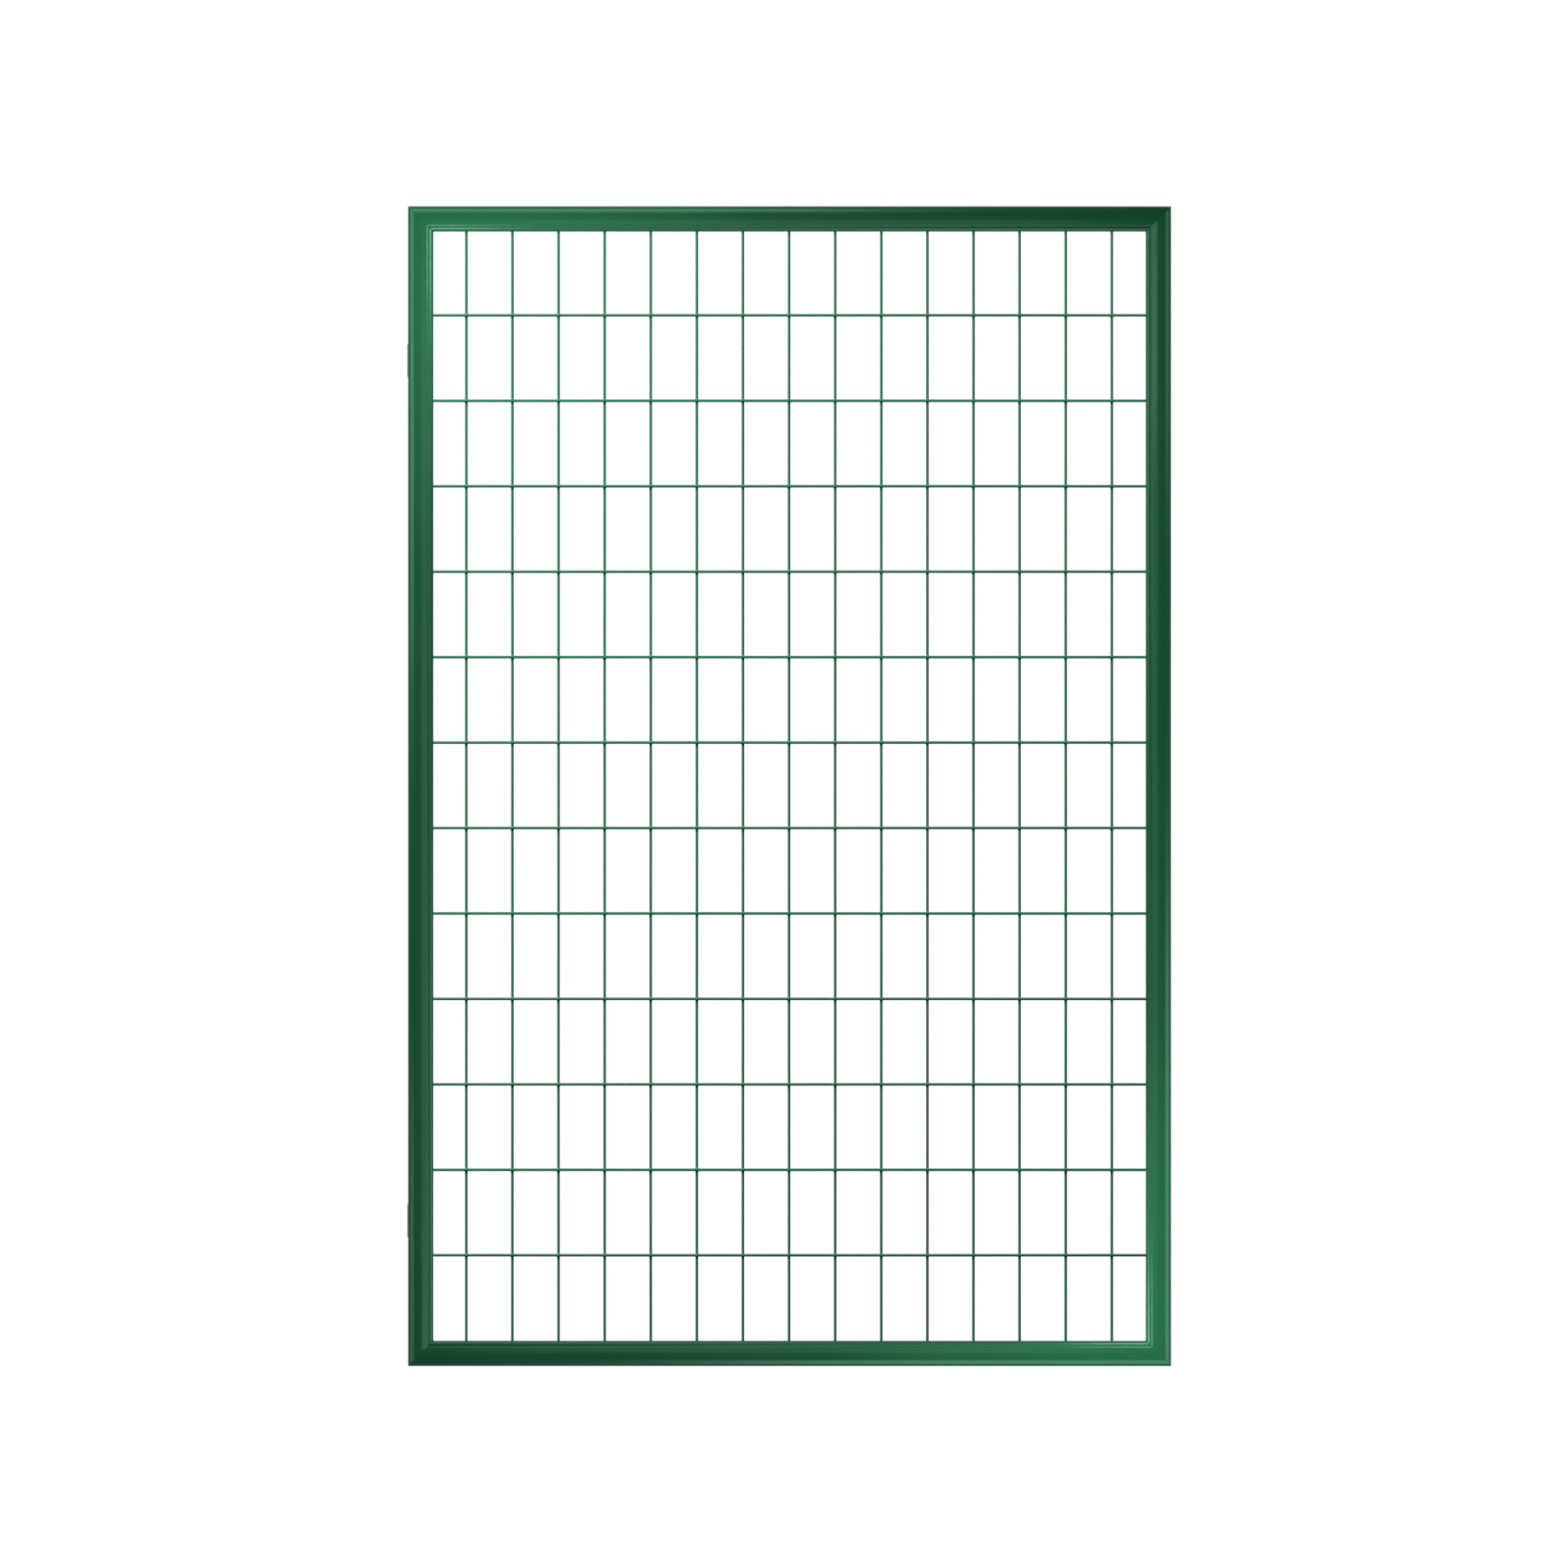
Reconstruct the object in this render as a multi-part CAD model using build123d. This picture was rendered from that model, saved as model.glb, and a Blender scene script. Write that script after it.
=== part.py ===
from build123d import *
import os

# Leaf of a welded mesh pedestrian gate, in millimetres.
# It stands in the XZ plane with its front towards -Y and +Z up.
# The origin is on the lower hinge's bearing face, on the axis of the hinge pins.

os.makedirs("parts", exist_ok=True)

# Leaf
LEAF_WIDTH = 902.0
LEAF_HEIGHT = 1371.0

# Rolled frame section: one bent sheet. Places along its face are measured from the frame's
# outer side, falls from the flat of the face, and bends on the sheet's middle line.
SECTION_FACE = 30.0
SECTION_DEPTH = 30.0
SHEET = 1.5
SHOULDER_BEND = 7.5
SHOULDER_FALL = 3.54
CROWN_AT = 8.7
CROWN_BEND = 17.25
CREASE_AT = 16.0
RIDGE_AT = 22.3
RIDGE_FALL = 0.75
GROOVE_AT = 23.7
GROOVE_FALL = 2.35
BEAD_AT = 25.0
BEAD_FALL = 1.15
BEAD_EDGE_FALL = 2.4
BEAD_BEND = 5.2
SMALL_BEND = 0.9
LIP_BEND = 1.4
LIP_LENGTH = 4.6

# Welded mesh, placed from the outer sides of the hinge stile and the bottom rail
WIRE = 3.2
WIRE_SIDES = 8
WELD_DEPTH = 0.5
PITCH_X = 54.5
PITCH_Z = 101.0
UPRIGHT_WIRES = 17
LEVEL_WIRES = 13
FIRST_UPRIGHT = 14.35
FIRST_LEVEL = 131.1
WIRE_END_INSET = 10.0

# Hinge barrels, through-bored, each with a foot that is welded to the back of the stile
HINGE_LENGTH = 40.0
HINGE_RADIUS = 8.0
HINGE_PROUD = 0.85
HINGE_CHAMFER = 1.0
BORE_RADIUS = 5.05
FOOT_LEFT = 4.2
FOOT_DEPTH = 1.5
LOWER_HINGE_RISE = 152.0
UPPER_HINGE_DROP = 202.5

# Places that follow from the dimensions
LEFT = HINGE_PROUD - HINGE_RADIUS
RIGHT = LEFT + LEAF_WIDTH
BOTTOM = -LOWER_HINGE_RISE
TOP = BOTTOM + LEAF_HEIGHT
BACK = -HINGE_RADIUS - FOOT_DEPTH
MIDDLE = BACK - SECTION_DEPTH / 2
UPPER_HINGE_Z = TOP - UPPER_HINGE_DROP
MESH_STEP = WIRE - WELD_DEPTH
SLOT_WIDTH = WIRE + MESH_STEP


def rolled_section():
    """Section of the frame: a sheet bent round the outer shoulders, crowned into the face, creased
    along it, dipped into a groove, rounded over a bead and turned in to a lip. The back is the
    front's mirror image, and the mesh sits between the two lips."""
    face = SECTION_DEPTH / 2 - SHEET / 2
    outer = SHEET / 2
    inner = SECTION_FACE - SHEET / 2
    lip = SLOT_WIDTH / 2 + SHEET / 2
    lip_end = (inner - LIP_LENGTH, lip)
    corners = [
        ((inner, lip), LIP_BEND),
        ((inner, face - BEAD_EDGE_FALL), BEAD_BEND),
        ((BEAD_AT, face - BEAD_FALL), SMALL_BEND),
        ((GROOVE_AT, face - GROOVE_FALL), SMALL_BEND),
        ((RIDGE_AT, face - RIDGE_FALL), SMALL_BEND),
        ((CREASE_AT, face), SMALL_BEND),
        ((CROWN_AT, face), CROWN_BEND),
        ((outer, face - SHOULDER_FALL), SHOULDER_BEND),
    ]
    back = [lip_end] + [point for point, bend in corners]
    front = [(x, -y) for x, y in back]
    bends = [bend for point, bend in corners]
    middle_line = FilletPolyline(*front, *reversed(back), radius=bends + bends[::-1])
    return make_face(offset(middle_line, SHEET / 2, side=Side.BOTH))


def frame_member(length):
    """A length of the section with mitred ends, its outer side on X 0 and its ends along Z."""
    bevel = SECTION_FACE
    mitre = Polyline((0, 0), (0, length), (bevel, length - bevel), (bevel, bevel), close=True)
    block = extrude(Plane.XZ * make_face(mitre), SECTION_DEPTH, both=True)
    return extrude(rolled_section(), length) & block


def wire(length):
    """A mesh wire along Z, as a bar whose flats face the front, the back and both sides."""
    half_side = 180 / WIRE_SIDES
    outline = RegularPolygon(WIRE / 2, WIRE_SIDES, major_radius=False, rotation=half_side)
    return extrude(outline, length)


def mesh():
    """The welded sheet: level wires in front of the upright ones and sunk a little into them."""
    upright = wire(LEAF_HEIGHT - 2 * WIRE_END_INSET)
    level = Rot(0, 90, 0) * wire(LEAF_WIDTH - 2 * WIRE_END_INSET)
    wires = []
    for i in range(UPRIGHT_WIRES):
        x = LEFT + FIRST_UPRIGHT + i * PITCH_X
        wires.append(Pos(x, MIDDLE + MESH_STEP / 2, BOTTOM + WIRE_END_INSET) * upright)
    for i in range(LEVEL_WIRES):
        z = BOTTOM + FIRST_LEVEL + i * PITCH_Z
        wires.append(Pos(LEFT + WIRE_END_INSET, MIDDLE - MESH_STEP / 2, z) * level)
    return wires[0].fuse(*wires[1:])


def hinge_barrel():
    """A barrel for the gate hook's pin, with its bearing face down on Z 0 and its foot forward."""
    foot_width = HINGE_RADIUS - FOOT_LEFT
    foot = Pos(FOOT_LEFT + foot_width / 2, BACK / 2) * Rectangle(foot_width, -BACK)
    barrel = extrude(Circle(HINGE_RADIUS), HINGE_LENGTH)
    barrel = chamfer(barrel.edges().filter_by(GeomType.CIRCLE), HINGE_CHAMFER)
    return barrel + extrude(foot, HINGE_LENGTH) - extrude(Circle(BORE_RADIUS), HINGE_LENGTH)


stile = frame_member(LEAF_HEIGHT)
rail = frame_member(LEAF_WIDTH)
hinge = hinge_barrel()

nodes = {
    "hinge_stile": Pos(LEFT, MIDDLE, BOTTOM) * stile,
    "lock_stile": Pos(RIGHT, MIDDLE, TOP) * Rot(0, 180, 0) * stile,
    "top_rail": Pos(LEFT, MIDDLE, TOP) * Rot(0, 90, 0) * rail,
    "bottom_rail": Pos(RIGHT, MIDDLE, BOTTOM) * Rot(0, 270, 0) * rail,
    "mesh_panel": mesh(),
    "lower_hinge": hinge,
    "upper_hinge": Pos(0, 0, UPPER_HINGE_Z) * hinge,
}

for name, shape in nodes.items():
    export_step(shape, f"parts/{name}.step")
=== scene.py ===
import bpy
import bmesh
import math
import random
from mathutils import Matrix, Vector, noise


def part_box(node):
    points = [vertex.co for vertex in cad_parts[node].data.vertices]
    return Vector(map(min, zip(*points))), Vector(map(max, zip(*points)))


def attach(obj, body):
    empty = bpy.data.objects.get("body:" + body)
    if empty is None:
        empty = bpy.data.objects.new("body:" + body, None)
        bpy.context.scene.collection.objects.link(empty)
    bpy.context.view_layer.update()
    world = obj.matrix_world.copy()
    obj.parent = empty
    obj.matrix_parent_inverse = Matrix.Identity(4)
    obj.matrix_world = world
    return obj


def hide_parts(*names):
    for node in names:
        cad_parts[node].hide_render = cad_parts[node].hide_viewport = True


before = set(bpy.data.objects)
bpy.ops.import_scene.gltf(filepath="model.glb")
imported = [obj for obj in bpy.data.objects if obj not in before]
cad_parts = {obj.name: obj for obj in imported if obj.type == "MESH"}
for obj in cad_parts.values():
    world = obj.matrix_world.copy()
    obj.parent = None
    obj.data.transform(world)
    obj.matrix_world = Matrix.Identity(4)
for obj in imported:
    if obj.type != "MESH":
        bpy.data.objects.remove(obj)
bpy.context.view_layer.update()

# White room
# The leaf hangs in front of white, seen square on from far away with a long lens, so the view is
# parallel. The photograph is 1800 pixels wide, and the leaf takes 876 of them.
PHOTO_PIXELS = 1800
LEAF_LEFT_PIXEL = 468.4
LEAF_RIGHT_PIXEL = 1344.4
LEAF_TOP_PIXEL = 236.8
stile_lo, stile_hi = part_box("hinge_stile")
_, lock_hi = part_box("lock_stile")
LEFT, RIGHT = stile_lo.x, lock_hi.x
BOTTOM, TOP = stile_lo.z, stile_hi.z
FRONT, BACK = stile_lo.y, stile_hi.y
MIDDLE = (FRONT + BACK) / 2
METRES_A_PIXEL = (RIGHT - LEFT) / (LEAF_RIGHT_PIXEL - LEAF_LEFT_PIXEL)
centre_x = LEFT + (PHOTO_PIXELS / 2 - LEAF_LEFT_PIXEL) * METRES_A_PIXEL
centre_z = TOP - (PHOTO_PIXELS / 2 - LEAF_TOP_PIXEL) * METRES_A_PIXEL

CAMERA_AHEAD = 5.0
VIEW_DEPTH = 50.0
lens = bpy.data.cameras.new("square_on_view")
lens.type = "ORTHO"
lens.ortho_scale = PHOTO_PIXELS * METRES_A_PIXEL
lens.clip_end = VIEW_DEPTH
camera = bpy.data.objects.new("square_on_view", lens)
camera.location = (centre_x, FRONT - CAMERA_AHEAD, centre_z)
camera.rotation_euler = (math.radians(90), 0, 0)
bpy.context.scene.collection.objects.link(camera)
bpy.context.scene.camera = camera
bpy.context.scene.view_settings.view_transform = "Standard"

# The room is dim before the leaf, where the lamps model the frame, and brighter behind it, where it
# lights the leaf's back. What the camera sees behind the leaf is white, and so is what the leaf mirrors
# from right behind it. WALL_STOPS are places from 0 behind the camera to 1 behind the leaf, with their
# light, and the white starts and is full at two places on the same way from -1 to 1.
CAMERA_WALL = 0.035
SIDE_WALLS = 0.05
FAR_WALLS = 0.40
WALL_STOPS = (
    (0.0, CAMERA_WALL),
    (0.04, CAMERA_WALL),
    (0.12, SIDE_WALLS),
    (0.47, SIDE_WALLS),
    (0.6, FAR_WALLS),
)
WHITE_FROM, WHITE_FULL = 0.88, 0.96
room = bpy.data.worlds.new("white_room")
room.use_nodes = True
bpy.context.scene.world = room
nodes, links = room.node_tree.nodes, room.node_tree.links
nodes.clear()
room_out = nodes.new("ShaderNodeOutputWorld")
heading = nodes.new("ShaderNodeTexCoord")
along = nodes.new("ShaderNodeSeparateXYZ")
links.new(heading.outputs["Generated"], along.inputs[0])
from_camera = nodes.new("ShaderNodeMapRange")
from_camera.inputs["From Min"].default_value = -1.0
from_camera.inputs["From Max"].default_value = 1.0
links.new(along.outputs["Y"], from_camera.inputs["Value"])
walls = nodes.new("ShaderNodeValToRGB")
walls.color_ramp.interpolation = "EASE"
while len(walls.color_ramp.elements) < len(WALL_STOPS):
    walls.color_ramp.elements.new(0.5)
for stop, (place, level) in zip(walls.color_ramp.elements, WALL_STOPS):
    stop.position = place
    stop.color = (level, level, level, 1.0)
links.new(from_camera.outputs["Result"], walls.inputs["Fac"])
light_level = nodes.new("ShaderNodeBackground")
links.new(walls.outputs["Color"], light_level.inputs["Color"])
white = nodes.new("ShaderNodeBackground")
white.inputs["Color"].default_value = (1.0, 1.0, 1.0, 1.0)
ray = nodes.new("ShaderNodeLightPath")
behind_leaf = nodes.new("ShaderNodeMapRange")
behind_leaf.inputs["From Min"].default_value = WHITE_FROM
behind_leaf.inputs["From Max"].default_value = WHITE_FULL
links.new(along.outputs["Y"], behind_leaf.inputs["Value"])
mirrored = nodes.new("ShaderNodeMath")
mirrored.operation = "MULTIPLY"
links.new(ray.outputs["Is Glossy Ray"], mirrored.inputs[0])
links.new(behind_leaf.outputs["Result"], mirrored.inputs[1])
seen = nodes.new("ShaderNodeMath")
seen.operation = "MAXIMUM"
links.new(ray.outputs["Is Camera Ray"], seen.inputs[0])
links.new(ray.outputs["Is Transmission Ray"], seen.inputs[1])
shown = nodes.new("ShaderNodeMath")
shown.operation = "MAXIMUM"
links.new(seen.outputs[0], shown.inputs[0])
links.new(mirrored.outputs[0], shown.inputs[1])
pick = nodes.new("ShaderNodeMixShader")
links.new(shown.outputs[0], pick.inputs["Fac"])
links.new(light_level.outputs[0], pick.inputs[1])
links.new(white.outputs[0], pick.inputs[2])
links.new(pick.outputs[0], room_out.inputs["Surface"])

# The pale floor lies a little below the leaf and takes its shadow. The camera alone sees it, so it
# throws no light back on the leaf. A soft light from straight above falls on it and on nothing else.
FLOOR_GAP = 0.05
FLOOR_SPREAD = 12.0
FLOOR_COLOUR = (0.8, 0.8, 0.79, 1.0)
FLOOR_ROUGHNESS = 0.8
FLOOR_LIGHT = 3.2
FLOOR_LIGHT_ANGLE = 40.0
floor_mesh = bpy.data.meshes.new("pale_floor")
floor_shape = bmesh.new()
bmesh.ops.create_grid(floor_shape, x_segments=4, y_segments=4, size=FLOOR_SPREAD / 2)
floor_shape.to_mesh(floor_mesh)
floor_shape.free()
pale_floor = bpy.data.objects.new("pale_floor", floor_mesh)
pale_floor.location = (centre_x, MIDDLE, BOTTOM - FLOOR_GAP)
bpy.context.scene.collection.objects.link(pale_floor)
floor_paint = bpy.data.materials.new("pale_floor")
floor_paint.use_nodes = True
floor_shader = floor_paint.node_tree.nodes["Principled BSDF"]
floor_shader.inputs["Base Color"].default_value = FLOOR_COLOUR
floor_shader.inputs["Roughness"].default_value = FLOOR_ROUGHNESS
floor_mesh.materials.append(floor_paint)
pale_floor.visible_diffuse = False
pale_floor.visible_glossy = False
pale_floor.visible_shadow = False
floor_lamps = bpy.data.collections.new("lit_by_floor_light")
floor_lamps.objects.link(pale_floor)
overhead = bpy.data.lights.new("floor_light", "SUN")
overhead.energy = FLOOR_LIGHT
overhead.angle = math.radians(FLOOR_LIGHT_ANGLE)
overhead_body = bpy.data.objects.new("floor_light", overhead)
overhead_body.light_linking.receiver_collection = floor_lamps
bpy.context.scene.collection.objects.link(overhead_body)

# The frame and the wires each have lamps of their own, and the stiles two more. Each collection holds
# the pieces that its lamps light.
frame_lamps = bpy.data.collections.new("lit_by_frame_lamps")
stile_lamps = bpy.data.collections.new("lit_by_stile_lamps")
wire_lamps = bpy.data.collections.new("lit_by_wire_lamps")


def soft_box(name, place, aim, size, brightness, receivers, spread=180.0):
    """A studio lamp of an even brightness, turned from its place towards a point."""
    lamp = bpy.data.lights.new(name, "AREA")
    lamp.shape = "RECTANGLE"
    lamp.size, lamp.size_y = size
    lamp.energy = brightness * math.pi * size[0] * size[1]
    lamp.spread = math.radians(spread)
    body = bpy.data.objects.new(name, lamp)
    body.location = place
    body.rotation_euler = (Vector(aim) - Vector(place)).to_track_quat("-Z", "Y").to_euler()
    body.visible_camera = False
    body.light_linking.receiver_collection = receivers
    bpy.context.scene.collection.objects.link(body)
    return body


# The upper left and the lower right of the frame each have the same eight lamps: three soft boxes round
# the corner for the shoulders, two small gridded ones inside it for the beads, one in front, and a box
# and a strip at the stile's other end. OUT is away from the leaf, IN is towards its middle, ALONG is
# along a length from the corner, and AHEAD is towards the camera. A lamp's size is its width and height.
SHOULDER_GLOW, RAIL_BOX, STILE_BOX = 2.6, (0.8, 0.9), (0.9, 0.8)
SHOULDER_OUT, SHOULDER_ALONG = 0.95, 0.14
CORNER_BOX, CORNER_OUT = (0.7, 0.7), 0.72
END_GLOW, END_BOX, END_INSET = 1.6, (0.9, 0.4), 0.1
STRIP_GLOW, STRIP, STRIP_IN = 1.9, (0.2, 0.3), 0.24
BEAD_GLOW, RAIL_GRID, STILE_GRID = 1.15, (0.14, 0.35), (0.35, 0.14)
BEAD_IN, BEAD_ALONG, BEAD_AT = 0.38, 0.03, 0.026
FRONT_GLOW, FRONT_BOX, FRONT_IN = 0.18, (1.0, 1.1), 0.05
BOX_AHEAD, BEAD_AHEAD, FRONT_AHEAD = 0.60, 0.35, 1.2
GRID_SPREAD = 64.0
for corner, x, z, turn in (("upper_left", LEFT, TOP, 1.0), ("lower_right", RIGHT, BOTTOM, -1.0)):
    near_x, near_z = x + SHOULDER_ALONG * turn, z - SHOULDER_ALONG * turn
    above = (near_x, FRONT - BOX_AHEAD, z + SHOULDER_OUT * turn)
    rail_shoulder, stile_shoulder = (near_x, FRONT, z), (x, FRONT, near_z)
    soft_box(corner + "_rail_shoulder_box", above, rail_shoulder, RAIL_BOX, SHOULDER_GLOW, frame_lamps)
    beside = (x - SHOULDER_OUT * turn, FRONT - BOX_AHEAD, near_z)
    soft_box(corner + "_stile_shoulder_box", beside, stile_shoulder, STILE_BOX, SHOULDER_GLOW, frame_lamps)
    diagonal = (x - CORNER_OUT * turn, FRONT - BOX_AHEAD, z + CORNER_OUT * turn)
    soft_box(corner + "_corner_box", diagonal, (x, FRONT, z), CORNER_BOX, SHOULDER_GLOW, frame_lamps)
    end_z = z - (TOP - BOTTOM - END_INSET) * turn
    end_beside = (x - SHOULDER_OUT * turn, FRONT - BOX_AHEAD, end_z)
    soft_box(corner + "_stile_end_box", end_beside, (x, FRONT, end_z), END_BOX, END_GLOW, frame_lamps)
    strip_x = x + STRIP_IN * turn
    end_inside = (strip_x, FRONT - BOX_AHEAD, end_z)
    soft_box(corner + "_end_strip", end_inside, (strip_x, FRONT, end_z), STRIP, STRIP_GLOW, stile_lamps)
    bead_x, bead_z = x + BEAD_ALONG * turn, z - BEAD_ALONG * turn
    below = (bead_x, FRONT - BEAD_AHEAD, z - BEAD_IN * turn)
    rail_bead, stile_bead = (bead_x, FRONT, z - BEAD_AT * turn), (x + BEAD_AT * turn, FRONT, bead_z)
    soft_box(corner + "_rail_bead_box", below, rail_bead, RAIL_GRID, BEAD_GLOW, frame_lamps, GRID_SPREAD)
    inside = (x + BEAD_IN * turn, FRONT - BEAD_AHEAD, bead_z)
    soft_box(corner + "_stile_bead_box", inside, stile_bead, STILE_GRID, BEAD_GLOW, frame_lamps, GRID_SPREAD)
    front_x, front_z = x + FRONT_IN * turn, z - FRONT_IN * turn
    ahead = (front_x, FRONT - FRONT_AHEAD, front_z)
    soft_box(corner + "_front_box", ahead, (front_x, FRONT, front_z), FRONT_BOX, FRONT_GLOW, frame_lamps)

# A box before the middle of the leaf shows in the beads all round.
MIDDLE_GLOW, MIDDLE_BOX = 0.7, (0.72, 1.18)
middle = (centre_x, FRONT - BOX_AHEAD, centre_z)
soft_box("middle_box", middle, (centre_x, FRONT, centre_z), MIDDLE_BOX, MIDDLE_GLOW, frame_lamps)

# The wires have one broad lamp from the upper left, which the frame doesn't shade.
FILL_GLOW, FILL_BOX, FILL_OUT, FILL_AHEAD = 17.0, (2.6, 2.6), 2.4, 2.0
fill = (centre_x - FILL_OUT, FRONT - FILL_AHEAD, centre_z + FILL_OUT)
fill_lamp = soft_box("upper_left_fill", fill, (centre_x, FRONT, centre_z), FILL_BOX, FILL_GLOW, wire_lamps)
fill_lamp.light_linking.blocker_collection = wire_lamps

# The back of the leaf has one lamp from above for the frame, and another at the same place for the wires.
REAR_GLOW, REAR_BOX = 2.0, (1.5, 1.5)
REAR_RIGHT, REAR_BEHIND, REAR_ABOVE = 1.2, 2.6, 0.9
rear = (centre_x + REAR_RIGHT, BACK + REAR_BEHIND, TOP + REAR_ABOVE)
for receivers in (frame_lamps, wire_lamps):
    soft_box("rear_box_" + receivers.name, rear, (centre_x, BACK, centre_z), REAR_BOX, REAR_GLOW, receivers)

# Rolled frame
# Four lengths of one cold-rolled steel section, mitred and welded at the corners, galvanised and then
# coated bottle green. The welds are ground flush, so the coat runs softly round each corner.
FACE = 0.030
DEPTH = BACK - FRONT
SHEET = 0.0015
SLOT = 0.0059
LIP_LENGTH = 0.0046
SHEET_FACE = DEPTH / 2 - SHEET / 2
SHEET_INNER = FACE - SHEET / 2
SHEET_LIP = SLOT / 2 + SHEET / 2
# The corners of the sheet's middle line, from a lip to a shoulder, each with its distance from the
# frame's outer side, its distance from the middle plane and its bend radius
SECTION_BENDS = (
    (SHEET_INNER, SHEET_LIP, 0.0014),
    (SHEET_INNER, SHEET_FACE - 0.0024, 0.0052),
    (0.0250, SHEET_FACE - 0.00118, 0.0012),
    (0.0237, SHEET_FACE - 0.00215, 0.0013),
    (0.0223, SHEET_FACE - 0.00075, 0.0018),
    (0.0160, SHEET_FACE, 0.0030),
    (0.0087, SHEET_FACE, 0.01725),
    (SHEET / 2, SHEET_FACE - 0.00354, 0.00750),
)
BEND_STEP = math.radians(6)
# Distances from the frame's outer side, each with the radius at which the section turns the mitre there
MITRE_TURNS = (
    (0.0, 0.0004),
    (0.005, 0.0009),
    (0.012, 0.0032),
    (0.018, 0.0032),
    (0.024, 0.0014),
    (1.0, 0.0014),
)
MITRE_STEPS = 12
PLAIN_INSET = 0.05
PLAIN_STEPS = 8
MEMBER_EDGE = math.radians(40)


def sheet_line():
    """The sheet's middle line from one lip round to the other, as places with unit directions."""
    lip_end, outer_middle = (SHEET_INNER - LIP_LENGTH, SHEET_LIP), (SHEET / 2, 0.0)
    run = [Vector(place) for place in (lip_end, *(bend[:2] for bend in SECTION_BENDS), outer_middle)]
    line = [(run[0], (run[1] - run[0]).normalized())]
    for i, (across, deep, radius) in enumerate(SECTION_BENDS, start=1):
        come = (run[i] - run[i - 1]).normalized()
        go = (run[i + 1] - run[i]).normalized()
        turn = math.atan2(come.x * go.y - come.y * go.x, come.dot(go))
        side = math.copysign(1.0, turn)
        centre = run[i] - come * radius * math.tan(abs(turn) / 2) + Vector((-come.y, come.x)) * radius * side
        steps = max(2, math.ceil(abs(turn) / BEND_STEP))
        for k in range(steps + 1):
            swing = turn * k / steps
            cos, sin = math.cos(swing), math.sin(swing)
            heading = Vector((come.x * cos - come.y * sin, come.x * sin + come.y * cos))
            line.append((centre - Vector((-heading.y, heading.x)) * radius * side, heading))
    line.append((run[-1], (run[-1] - run[-2]).normalized()))
    mirrored_half = [(Vector((p.x, -p.y)), Vector((-d.x, d.y))) for p, d in reversed(line[:-1])]
    return line + mirrored_half


def skin_points():
    """Outer and inner skins of the section, as distances from the frame's outer side and middle plane."""
    outside, inside = [], []
    for place, heading in sheet_line():
        out = Vector((heading.y, -heading.x)) * SHEET / 2
        outside.append(place + out)
        inside.append(place - out)
    return outside + inside[::-1]


def corner_radius(across):
    """How softly a line of the section turns at the mitre: crisp outside, softest along the face."""
    for (start, before), (end, after) in zip(MITRE_TURNS, MITRE_TURNS[1:]):
        if across <= end:
            part = max(0.0, (across - start) / (end - start))
            return before + (after - before) * part * part * (3 - 2 * part)


def mitred_end(section):
    """Rings of one end, from the mitre plane inward, as distances across, along and through it."""
    rings = []
    for step in range(MITRE_STEPS + 1):
        turn = math.radians(45) * (1 - step / MITRE_STEPS)
        ring = []
        for point in section:
            radius = corner_radius(point.x)
            across = point.x + radius * (1 - math.cos(turn))
            ring.append((across, point.x + radius * (1 - math.sin(turn)), point.y))
        rings.append(ring)
    return rings


def smooth_piece(name, points, faces, edge=None, merge=False):
    """A smooth piece. It can have sharp edges past an angle, and doubled points can be merged."""
    shape = bpy.data.meshes.new(name)
    shape.from_pydata(points, [], faces)
    tidy = bmesh.new()
    tidy.from_mesh(shape)
    if merge:
        bmesh.ops.remove_doubles(tidy, verts=tidy.verts, dist=0.000001)
    bmesh.ops.recalc_face_normals(tidy, faces=tidy.faces)
    tidy.to_mesh(shape)
    tidy.free()
    shape.shade_smooth()
    if edge:
        shape.set_sharp_from_angle(angle=edge)
    piece = bpy.data.objects.new(name, shape)
    bpy.context.scene.collection.objects.link(piece)
    return piece


def rolled_member(name, length, corner, along, across):
    """A mitred length of the section from one outer corner of the leaf, with a row of quads each ring."""
    section = skin_points()
    count = len(section)
    near = mitred_end(section)
    straight = length - 2 * PLAIN_INSET
    stations = [PLAIN_INSET + straight * k / PLAIN_STEPS for k in range(PLAIN_STEPS + 1)]
    plain = [[(p.x, station, p.y) for p in section] for station in stations]
    far = [[(a, length - s, v) for a, s, v in ring] for ring in reversed(mitred_end(section))]
    rings = near + plain + far
    corner, along, across = Vector(corner), Vector(along), Vector(across)
    depth = Vector((0.0, 1.0, 0.0))
    points = [corner + across * a + along * s + depth * v for ring in rings for a, s, v in ring]
    faces = []
    for i in range(len(rings) - 1):
        for k in range(count):
            n = (k + 1) % count
            faces.append((i * count + k, i * count + n, (i + 1) * count + n, (i + 1) * count + k))
    for start in (0, (len(rings) - 1) * count):
        for k in range(count // 2 - 1):
            faces.append((start + k, start + k + 1, start + count - 2 - k, start + count - 1 - k))
    return smooth_piece(name, points, faces, edge=MEMBER_EDGE)


COAT_LIGHT = (0.0112, 0.107, 0.0435, 1.0)
COAT_DEEP = (0.0093, 0.097, 0.0385, 1.0)
COAT_SHEEN = (0.42, 1.0, 0.7, 1.0)
COAT_SHINE = 0.65
SKIN_SIZES = (("Ripple Scale", 420.0), ("Cloud Scale", 5.0), ("Wave Scale", 14.0), ("Wave Depth", 1.0))

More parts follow.
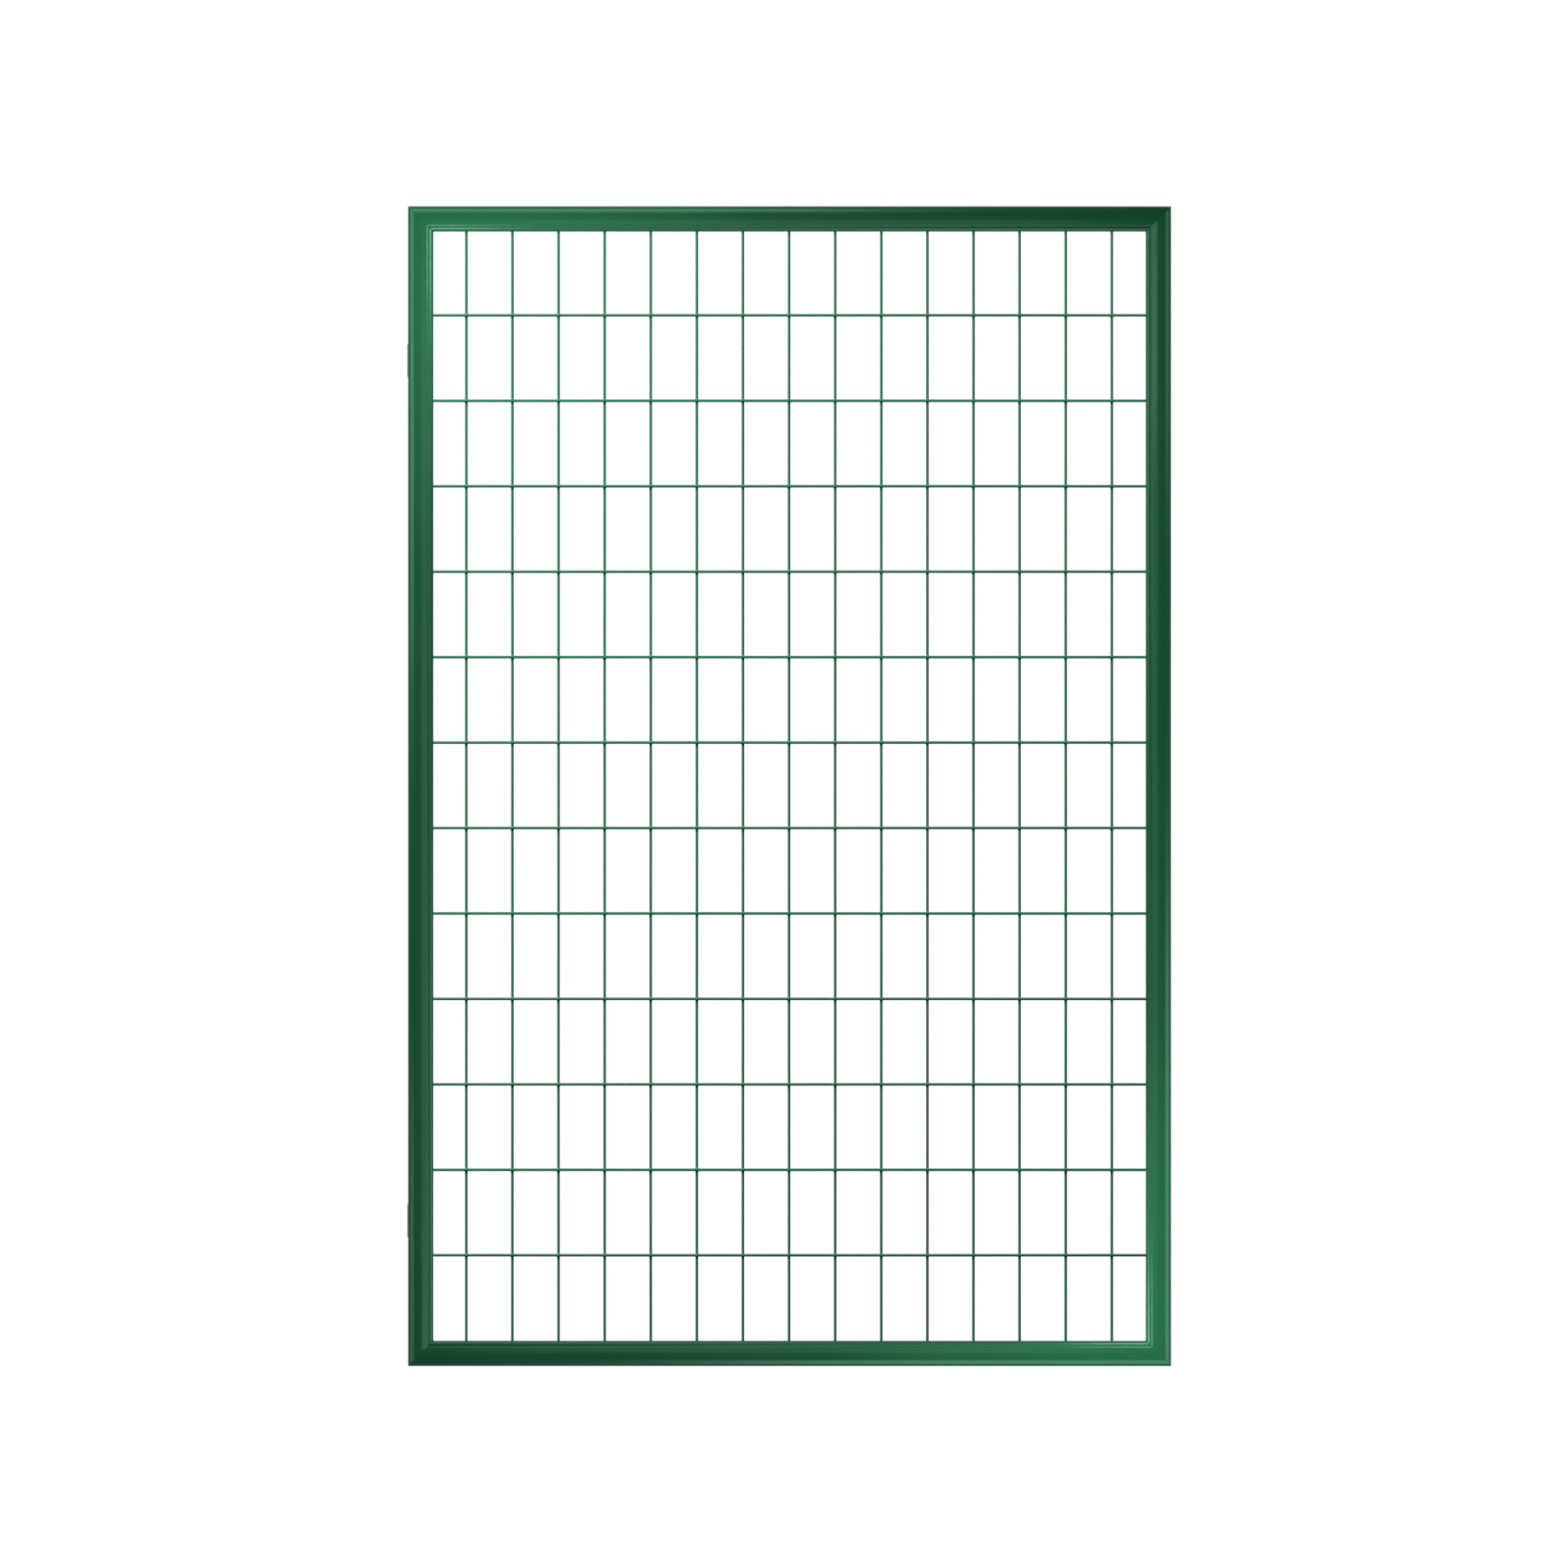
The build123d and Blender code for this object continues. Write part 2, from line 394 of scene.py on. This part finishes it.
coat_skin = bpy.data.node_groups.new("sprayed_coat_skin", "ShaderNodeTree")
for socket_name, start in SKIN_SIZES:
    made = coat_skin.interface.new_socket(socket_name, in_out="INPUT", socket_type="NodeSocketFloat")
    made.default_value = start
coat_skin.interface.new_socket("Relief", in_out="OUTPUT", socket_type="NodeSocketFloat")
coat_skin.interface.new_socket("Cloud", in_out="OUTPUT", socket_type="NodeSocketFloat")
nodes, links = coat_skin.nodes, coat_skin.links
skin_in = nodes.new("NodeGroupInput")
skin_out = nodes.new("NodeGroupOutput")
spot = nodes.new("ShaderNodeTexCoord")
ripple = nodes.new("ShaderNodeTexNoise")
ripple.inputs["Detail"].default_value = 2.0
ripple.inputs["Roughness"].default_value = 0.4
cloud = nodes.new("ShaderNodeTexNoise")
cloud.inputs["Detail"].default_value = 3.0
wave = nodes.new("ShaderNodeTexNoise")
wave.inputs["Detail"].default_value = 1.0
for texture, scale in ((ripple, "Ripple Scale"), (cloud, "Cloud Scale"), (wave, "Wave Scale")):
    links.new(spot.outputs["Object"], texture.inputs["Vector"])
    links.new(skin_in.outputs[scale], texture.inputs["Scale"])
relief = nodes.new("ShaderNodeMath")
relief.operation = "MULTIPLY_ADD"
links.new(wave.outputs["Fac"], relief.inputs[0])
links.new(skin_in.outputs["Wave Depth"], relief.inputs[1])
links.new(ripple.outputs["Fac"], relief.inputs[2])
links.new(relief.outputs[0], skin_out.inputs["Relief"])
links.new(cloud.outputs["Fac"], skin_out.inputs["Cloud"])


def coat(name, light, deep, roughness, ripple_depth, wave_depth):
    """A green coat: cloudy between two near tones, with a rippled skin over slightly wavy steel."""
    paint = bpy.data.materials.new(name)
    paint.use_nodes = True
    nodes, links = paint.node_tree.nodes, paint.node_tree.links
    shader = nodes["Principled BSDF"]
    skin = nodes.new("ShaderNodeGroup")
    skin.node_tree = coat_skin
    skin.inputs["Wave Depth"].default_value = wave_depth
    tone = nodes.new("ShaderNodeMix")
    tone.data_type = "RGBA"
    tone.inputs["A"].default_value = deep
    tone.inputs["B"].default_value = light
    links.new(skin.outputs["Cloud"], tone.inputs["Factor"])
    links.new(tone.outputs["Result"], shader.inputs["Base Color"])
    bump = nodes.new("ShaderNodeBump")
    bump.inputs["Strength"].default_value = 1.0
    bump.inputs["Distance"].default_value = ripple_depth
    links.new(skin.outputs["Relief"], bump.inputs["Height"])
    links.new(bump.outputs["Normal"], shader.inputs["Normal"])
    shader.inputs["Roughness"].default_value = roughness
    shader.inputs["Specular IOR Level"].default_value = COAT_SHINE
    shader.inputs["Specular Tint"].default_value = COAT_SHEEN
    return paint


frame_coat = coat("frame_coat", COAT_LIGHT, COAT_DEEP, roughness=0.25, ripple_depth=0.000008, wave_depth=8.0)
WIDTH, HEIGHT = RIGHT - LEFT, TOP - BOTTOM
RIGHTWARD, LEFTWARD, UPWARD, DOWNWARD = (1, 0, 0), (-1, 0, 0), (0, 0, 1), (0, 0, -1)
for node, length, corner, along, across in (
    ("hinge_stile", HEIGHT, (LEFT, MIDDLE, BOTTOM), UPWARD, RIGHTWARD),
    ("lock_stile", HEIGHT, (RIGHT, MIDDLE, TOP), DOWNWARD, LEFTWARD),
    ("top_rail", WIDTH, (LEFT, MIDDLE, TOP), RIGHTWARD, DOWNWARD),
    ("bottom_rail", WIDTH, (RIGHT, MIDDLE, BOTTOM), LEFTWARD, UPWARD),
):
    member = rolled_member("rolled_" + node, length, corner, along, across)
    member.data.materials.append(frame_coat)
    frame_lamps.objects.link(member)
    if node.endswith("stile"):
        stile_lamps.objects.link(member)
    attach(member, "root")
    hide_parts(node)

# Welded mesh
# Round steel wires, level ones in front of upright ones, pressed together and spot welded at every
# crossing, then coated with the frame. Their ends run into the slot between the frame's lips.
WIRE = 0.0032
WIRE_SIDES = 14
MESH_STEP = 0.0027
PITCH_X, PITCH_Z = 0.0545, 0.101
UPRIGHT_WIRES, LEVEL_WIRES = 17, 13
FIRST_UPRIGHT, FIRST_LEVEL = 0.01435, 0.1311
WIRE_END_INSET = 0.010
DRIFT = 0.00012
SWAY_SCALE, BOW_SCALE = 4.0, 9.0
BOW_START = 0.03
FLARE = 0.00016
FLARE_REACH = 0.0022
FLARE_STEPS = (-0.0045, -0.003, -0.0015, 0.0, 0.0015, 0.003, 0.0045)
WELD_LEAST, WELD_MOST = 0.0028, 0.0031
WELD_LEAN = 0.08
WELD_POWER = 1.4
WELD_POINTS = 20
WELD_HALF, WELD_RIM = 0.00085, 0.00035
WELD_SEED = 12
# Rings of a weld from its back to its front, each with its share of the reach and its distance from the
# middle plane
WELD_RINGS = (
    (0.0, WELD_HALF),
    (0.65, WELD_HALF),
    (0.96, WELD_RIM),
    (0.96, -WELD_RIM),
    (0.65, -WELD_HALF),
    (0.0, -WELD_HALF),
)
WIRE_EDGE = math.radians(50)
UPRIGHT_SEED, LEVEL_SEED = 1, 41
upright_x = [LEFT + FIRST_UPRIGHT + i * PITCH_X for i in range(UPRIGHT_WIRES)]
level_z = [BOTTOM + FIRST_LEVEL + i * PITCH_Z for i in range(LEVEL_WIRES)]

wire_points, wire_faces = [], []


def lay_wire(start, along, side, length, crossings, seed):
    """A round wire from its cut end, thicker where the coat gathers at the welds."""
    stops = {0.0, length}
    for crossing in crossings:
        stops.update(crossing + step for step in FLARE_STEPS if 0.0 < crossing + step < length)
    for before, after in zip(crossings, crossings[1:]):
        stops.update(before + (after - before) * part for part in (0.25, 0.5, 0.75))
    stops = sorted(stops)
    first = len(wire_points)
    deep = Vector((0.0, 1.0, 0.0))
    for stop in stops:
        near = min(abs(stop - crossing) for crossing in crossings)
        radius = WIRE / 2 + FLARE * math.exp(-(near / FLARE_REACH) ** 2)
        free = min(1.0, near / BOW_START)
        sway = noise.noise(Vector((stop * SWAY_SCALE, seed * 7.3, 0.5))) * DRIFT
        bow = noise.noise(Vector((stop * BOW_SCALE, seed * 3.1, 4.5))) * DRIFT * free
        middle = start + along * stop + side * sway + deep * bow
        for k in range(WIRE_SIDES):
            turn = 2 * math.pi * k / WIRE_SIDES
            wire_points.append(middle + side * radius * math.cos(turn) + deep * radius * math.sin(turn))
    for i in range(len(stops) - 1):
        for k in range(WIRE_SIDES):
            a, b = first + i * WIRE_SIDES + k, first + i * WIRE_SIDES + (k + 1) % WIRE_SIDES
            wire_faces.append((a, b, b + WIRE_SIDES, a + WIRE_SIDES))
    wire_faces.append(tuple(range(first, first + WIRE_SIDES)))
    last = first + (len(stops) - 1) * WIRE_SIDES
    wire_faces.append(tuple(reversed(range(last, last + WIRE_SIDES))))


def press_weld(x, z, size, lean):
    """The coated squeeze of a spot weld: a thin cushion with a point along each of the four wires."""
    first = len(wire_points)
    for share, deep in WELD_RINGS:
        for k in range(WELD_POINTS):
            turn = 2 * math.pi * k / WELD_POINTS + lean
            cos, sin = math.cos(turn), math.sin(turn)
            reach = size / (abs(cos) ** WELD_POWER + abs(sin) ** WELD_POWER) ** (1 / WELD_POWER)
            wire_points.append(Vector((x + reach * share * cos, MIDDLE + deep, z + reach * share * sin)))
    for i in range(len(WELD_RINGS) - 1):
        for k in range(WELD_POINTS):
            a, b = first + i * WELD_POINTS + k, first + i * WELD_POINTS + (k + 1) % WELD_POINTS
            wire_faces.append((a, b, b + WELD_POINTS, a + WELD_POINTS))


rightwards, upwards = Vector(RIGHTWARD), Vector(UPWARD)
left_end, lower_end = LEFT + WIRE_END_INSET, BOTTOM + WIRE_END_INSET
upright_welds = [z - lower_end for z in level_z]
level_welds = [x - left_end for x in upright_x]
for seed, x in enumerate(upright_x, start=UPRIGHT_SEED):
    start = Vector((x, MIDDLE + MESH_STEP / 2, lower_end))
    lay_wire(start, upwards, rightwards, HEIGHT - 2 * WIRE_END_INSET, upright_welds, seed)
for seed, z in enumerate(level_z, start=LEVEL_SEED):
    start = Vector((left_end, MIDDLE - MESH_STEP / 2, z))
    lay_wire(start, rightwards, upwards, WIDTH - 2 * WIRE_END_INSET, level_welds, seed)
random.seed(WELD_SEED)
for x in upright_x:
    for z in level_z:
        press_weld(x, z, random.uniform(WELD_LEAST, WELD_MOST), random.uniform(-WELD_LEAN, WELD_LEAN))
welded_wires = smooth_piece("welded_wires", wire_points, wire_faces, edge=WIRE_EDGE, merge=True)
WIRE_LIGHT = (0.025, 0.142, 0.076, 1.0)
WIRE_DEEP = (0.019, 0.124, 0.064, 1.0)
wire_coat = coat("wire_coat", WIRE_LIGHT, WIRE_DEEP, roughness=0.4, ripple_depth=0.00001, wave_depth=0.0)
welded_wires.data.materials.append(wire_coat)
wire_lamps.objects.link(welded_wires)
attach(welded_wires, "root")
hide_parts("mesh_panel")

# Hinge barrels
# Two short bored steel barrels, coated with the frame. Each stands on a foot that is welded to the back
# of the hinge stile, and the pin of a gate hook goes through it.
hinge_coat = coat("hinge_coat", COAT_DEEP, COAT_DEEP, roughness=0.35, ripple_depth=0.00002, wave_depth=0.0)
for barrel in ("lower_hinge", "upper_hinge"):
    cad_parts[barrel].data.materials.clear()
    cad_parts[barrel].data.materials.append(hinge_coat)
    frame_lamps.objects.link(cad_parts[barrel])

# Weld seams at the hinge feet
# Two fillet welds for each foot, one up either side, laid in ripples from the bottom to the top and
# coated over. They join the foot to the stile's back.
FOOT_LEFT, FOOT_RIGHT = 0.0042, 0.0080
SEAM_INSET = 0.0016
SEAM_LEG = 0.0019
SEAM_SINK = 0.0004
RIPPLE_STEP = 0.0015
RIPPLE_RISE = 0.00022
STATIONS_A_RIPPLE = 5
SEAM_ARC = 8
SEAM_POWER = 1.35
WANDER, WANDER_SCALE = 0.12, 260.0
seam_coat = coat("seam_coat", COAT_DEEP, COAT_DEEP, roughness=0.3, ripple_depth=0.00003, wave_depth=0.0)


def weld_seam(points, faces, foot_side, outward, low, high, seed):
    """One rippled fillet in the corner between a side of the foot and the stile's back."""
    count = round((high - low) / RIPPLE_STEP) * STATIONS_A_RIPPLE
    first = len(points)
    ring = SEAM_ARC + 2
    for i in range(count + 1):
        z = low + (high - low) * i / count
        beat = (i % STATIONS_A_RIPPLE) / STATIONS_A_RIPPLE
        end = min(z - low, high - z) / SEAM_LEG
        taper = math.sqrt(max(0.0, min(1.0, end) * (2 - min(1.0, end))))
        wander = 1 + WANDER * noise.noise(Vector((z * WANDER_SCALE, seed * 5.7, 1.5)))
        leg = (SEAM_LEG * wander + RIPPLE_RISE * math.sqrt(beat)) * taper
        points.append(Vector((foot_side - SEAM_SINK * outward, BACK - SEAM_SINK, z)))
        for k in range(SEAM_ARC + 1):
            turn = math.radians(90) * k / SEAM_ARC
            cos, sin = math.cos(turn), math.sin(turn)
            reach = leg / (cos ** SEAM_POWER + sin ** SEAM_POWER) ** (1 / SEAM_POWER)
            points.append(Vector((foot_side + reach * cos * outward, BACK + reach * sin, z)))
    for i in range(count):
        for k in range(ring):
            a, b = first + i * ring + k, first + i * ring + (k + 1) % ring
            faces.append((a, b, b + ring, a + ring))
    faces.append(tuple(range(first, first + ring)))
    faces.append(tuple(reversed(range(first + count * ring, first + (count + 1) * ring))))


for seed, barrel in enumerate(("lower_hinge", "upper_hinge")):
    barrel_lo, barrel_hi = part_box(barrel)
    low, high = barrel_lo.z + SEAM_INSET, barrel_hi.z - SEAM_INSET
    seam_points, seam_faces = [], []
    weld_seam(seam_points, seam_faces, FOOT_LEFT, -1.0, low, high, seed * 2 + 1)
    weld_seam(seam_points, seam_faces, FOOT_RIGHT, 1.0, low, high, seed * 2 + 2)
    seams = smooth_piece(barrel + "_seams", seam_points, seam_faces)
    seams.data.materials.append(seam_coat)
    frame_lamps.objects.link(seams)
    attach(seams, "root")
